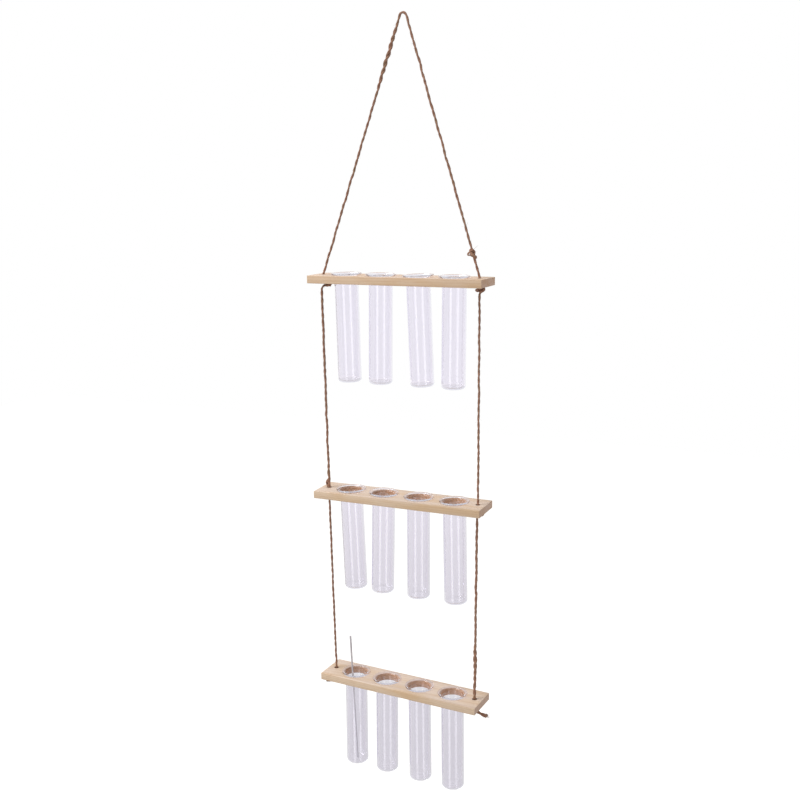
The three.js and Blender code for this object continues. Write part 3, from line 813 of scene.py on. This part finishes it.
bpy.ops.object.select_all(action="DESELECT")
bpy.ops.mesh.primitive_plane_add(size=0.001, location=(0, 0, 0))
tube = bpy.context.object
tube.name = "tube_pattern"
bpy.ops.object.mode_set(mode="EDIT")
bpy.ops.mesh.select_all(action="SELECT")
bpy.ops.mesh.merge(type="CENTER")
bpy.ops.transform.translate(value=(0, 0, profile[0][1] * MM))
for (r0, z0), (r1, z1) in zip(profile, profile[1:]):
    bpy.ops.mesh.extrude_region_move(
        TRANSFORM_OT_translate={"value": ((r1 - r0) * MM, 0, (z1 - z0) * MM)})
bpy.ops.mesh.select_all(action="SELECT")
bpy.ops.mesh.spin(steps=72, angle=2 * math.pi, center=(0, 0, 0), axis=(0, 0, 1))
bpy.ops.mesh.select_all(action="SELECT")
bpy.ops.mesh.remove_doubles(threshold=0.00001)
bpy.ops.mesh.normals_make_consistent(inside=False)
bpy.ops.object.mode_set(mode="OBJECT")
bpy.ops.object.shade_smooth()
tube.data.materials.append(glass)
tube.data.materials.append(lip_glass)
for face in tube.data.polygons:
    face.material_index = int(face.center.z > POLISHED_FROM * MM)
tube_places = {}
for tier, leans in LEANS.items():
    for number, degrees in enumerate(leans):
        lean = math.radians(degrees)
        lift = abs(math.sin(lean)) * max(HOLE_EDGE - PIVOT * SEAT_RUN / SEAT_DEPTH, 0)
        place = (PLACES[tier]
                 @ Matrix.Translation(((number - 1.5) * TUBE_PITCH, 0, PIVOT + lift))
                 @ Matrix.Rotation(-lean, 4, "Y")
                 @ Matrix.Translation((0, 0, -PIVOT)))
        node = f"{tier}_tube_{number + 1}"
        tube_places[node] = place
        made = copy_at(tube, f"{node}_glass", place)
        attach(made, f"{node}_body")
        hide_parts(node)
bpy.data.objects.remove(tube, do_unlink=True)


# The slim rod in the first tube of the lowest shelf: a thin grey stick that stands
# on the tube's floor and leans on its neck. It is matt and faintly streaked, grey above
# and paler toward its foot, and a little wider at the top than at the foot.
ROD_LENGTH = 148.0
ROD_FOOT_RADIUS, ROD_TOP_RADIUS = 0.85, 1.05
# its lean is worked out for this radius, which is that of the part's own rod at its foot
LEANING_RADIUS, LEAN_WAY = 0.9, 146
PALING_FROM, PALING_TO = -670.0, -730.0

# Weathered wood, as the stick is taken to be: dry, matt and gone grey. The eye sees faint
# streaks along it, drawn about 1 mm wide so that they show.
stick, tree, skin = blank("grey_weathered_stick")
coords = add(tree, "ShaderNodeTexCoord")
long_way = add(tree, "ShaderNodeMapping", {"Scale": (1.0, 1.0, 0.08)},
               {"Vector": coords.outputs["Object"]})
streaks = add(tree, "ShaderNodeTexNoise", {"Scale": 900.0, "Detail": 3.0},
              {"Vector": long_way.outputs["Vector"]})
streak_colour = add(tree, "ShaderNodeValToRGB", links={"Fac": streaks.outputs["Fac"]})
shade(streak_colour, [(0.35, "#BCB5BA"), (0.65, "#D2CCD0")])
place = add(tree, "ShaderNodeSeparateXYZ", links={"Vector": coords.outputs["Object"]})
low_down = add(tree, "ShaderNodeMapRange", {"From Min": PALING_FROM * MM,
                                                  "From Max": PALING_TO * MM},
               {"Value": place.outputs["Z"]})
length_colour = add(tree, "ShaderNodeMix", {"data_type": "RGBA", 7: linear("#F3F0F3")},
                    {0: low_down.outputs["Result"], 6: streak_colour.outputs["Color"]})
tree.links.new(length_colour.outputs[2], skin.inputs["Base Color"])
skin.inputs["Roughness"].default_value = 0.6

neck = TUBE_RADIUS - WALL - LEANING_RADIUS - SEAT_GAP
rod_foot = FOOT + FLOOR + 2 * SEAT_GAP
rod_lean = math.atan2(neck, -SEAT_DEPTH - rod_foot)
bpy.ops.object.select_all(action="DESELECT")
bpy.ops.mesh.primitive_cone_add(vertices=24, radius1=ROD_FOOT_RADIUS * MM,
                                radius2=ROD_TOP_RADIUS * MM, depth=ROD_LENGTH * MM,
                                location=(0, 0, ROD_LENGTH / 2 * MM))
rod = bpy.context.object
rod.name = "rod_pattern"
bpy.ops.object.transform_apply(location=True, rotation=True, scale=True)
softened = rod.modifiers.new("softened", "BEVEL")
softened.width = 0.25 * MM
softened.segments = 3
softened.limit_method = "ANGLE"
bpy.ops.object.modifier_apply(modifier=softened.name)
bpy.ops.object.shade_smooth_by_angle(angle=math.radians(50))
rod.data.materials.append(stick)
place = (tube_places["bottom_tube_1"]
         @ Matrix.Translation((0, 0, rod_foot))
         @ Matrix.Rotation(math.radians(LEAN_WAY), 4, "Z")
         @ Matrix.Rotation(rod_lean, 4, "Y"))
made = copy_at(rod, "slim_rod_stick", place)
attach(made, "rod_body")
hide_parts("slim_rod")
bpy.data.objects.remove(rod, do_unlink=True)


# The studio, with its places in metres: a white surround, a pale floor far below that glows with
# painted light, a broad soft lamp high on the left, and two tall strips whose reflections draw
# the upright streaks on the tubes.
FLOOR_SIZE, FLOOR_LEVEL = 16, -2.4
STRIP_AWAY, STRIP_HEIGHT, STRIP_MIDDLE = 1.3, 2.2, -0.9

# the camera and the glass see pure white, and the pieces are lit by half of that
world = bpy.data.worlds.new("white_studio")
world.use_nodes = True
bpy.context.scene.world = world
tree = world.node_tree
tree.nodes.clear()
ray = add(tree, "ShaderNodeLightPath")
seen = add(tree, "ShaderNodeMath", {"operation": "MAXIMUM"},
           {0: ray.outputs["Is Camera Ray"], 1: ray.outputs["Is Glossy Ray"]})
seen = add(tree, "ShaderNodeMath", {"operation": "MAXIMUM"},
           {0: seen.outputs[0], 1: ray.outputs["Is Transmission Ray"]})
soft = add(tree, "ShaderNodeBackground", {"Color": (1, 1, 1, 1), "Strength": 0.5})
white = add(tree, "ShaderNodeBackground", {"Color": (1, 1, 1, 1), "Strength": 1.0})
mixed = add(tree, "ShaderNodeMixShader", links={0: seen.outputs[0], 1: soft.outputs[0],
                                               2: white.outputs[0]})
add(tree, "ShaderNodeOutputWorld", links={"Surface": mixed.outputs[0]})

# White paper: matt and pale. It glows a little itself, evenly for the camera. For rays by way of
# the glass it glows the more the further out, so the tubes show its middle darker: painted light,
# and the darker middle is a painted shade that the tubes show.
paper, tree, skin = blank("white_paper_floor")
ray = add(tree, "ShaderNodeLightPath")
behind = add(tree, "ShaderNodeMath", {"operation": "MAXIMUM"},
             {0: ray.outputs["Is Glossy Ray"], 1: ray.outputs["Is Transmission Ray"]})
coords = add(tree, "ShaderNodeTexCoord")
distance = add(tree, "ShaderNodeVectorMath", {"operation": "LENGTH"},
               {0: coords.outputs["Object"]})
# painted light: the glow seen by way of the glass grows with the distance from the floor's middle
painted_glow_ramp = add(tree, "ShaderNodeMath", {"operation": "MULTIPLY_ADD", 1: 0.073, 2: 0.03},
             {0: distance.outputs["Value"]})
faint = add(tree, "ShaderNodeMath", {"operation": "MULTIPLY"},
            {0: behind.outputs[0], 1: painted_glow_ramp.outputs[0]})
glow = add(tree, "ShaderNodeMath", {"operation": "MULTIPLY_ADD", 1: 0.65},
           {0: ray.outputs["Is Camera Ray"], 2: faint.outputs[0]})
skin.inputs["Base Color"].default_value = linear("#E9E9E9")
skin.inputs["Roughness"].default_value = 0.9
skin.inputs["Specular IOR Level"].default_value = 0.0
skin.inputs["Emission Color"].default_value = linear("#FFFDFB")
tree.links.new(glow.outputs[0], skin.inputs["Emission Strength"])
bpy.ops.object.select_all(action="DESELECT")
bpy.ops.mesh.primitive_plane_add(size=FLOOR_SIZE, location=(0, 0, FLOOR_LEVEL))
floor = bpy.context.object
floor.name = "floor"
floor.data.materials.append(paper)


def lamp(name, place, target, width, height, power):
    """A flat lamp that shines from its place toward the target, unseen by the camera."""
    data = bpy.data.lights.new(name, "AREA")
    data.shape = "RECTANGLE"
    data.size, data.size_y = width, height
    data.energy = power
    made = bpy.data.objects.new(name, data)
    bpy.context.scene.collection.objects.link(made)
    made.location = place
    made.rotation_mode = "QUATERNION"
    made.rotation_quaternion = (Vector(target) - Vector(place)).to_track_quat("-Z", "Y")
    made.visible_camera = False
    return made


lamp("high_left", (-2.2, -1.6, 2.8), (0, 0, -0.45), 2.4, 2.4, 124)
for side, angle, width, power in (("left", -34, 0.5, 4.6), ("right", 37, 0.34, 3.2)):
    turn = VIEW_YAW + math.radians(angle)
    place = (STRIP_AWAY * math.sin(turn), -STRIP_AWAY * math.cos(turn), STRIP_MIDDLE)
    strip = lamp(f"strip_{side}", place, (0, 0, STRIP_MIDDLE), width, STRIP_HEIGHT, power)
    strip.visible_diffuse = False
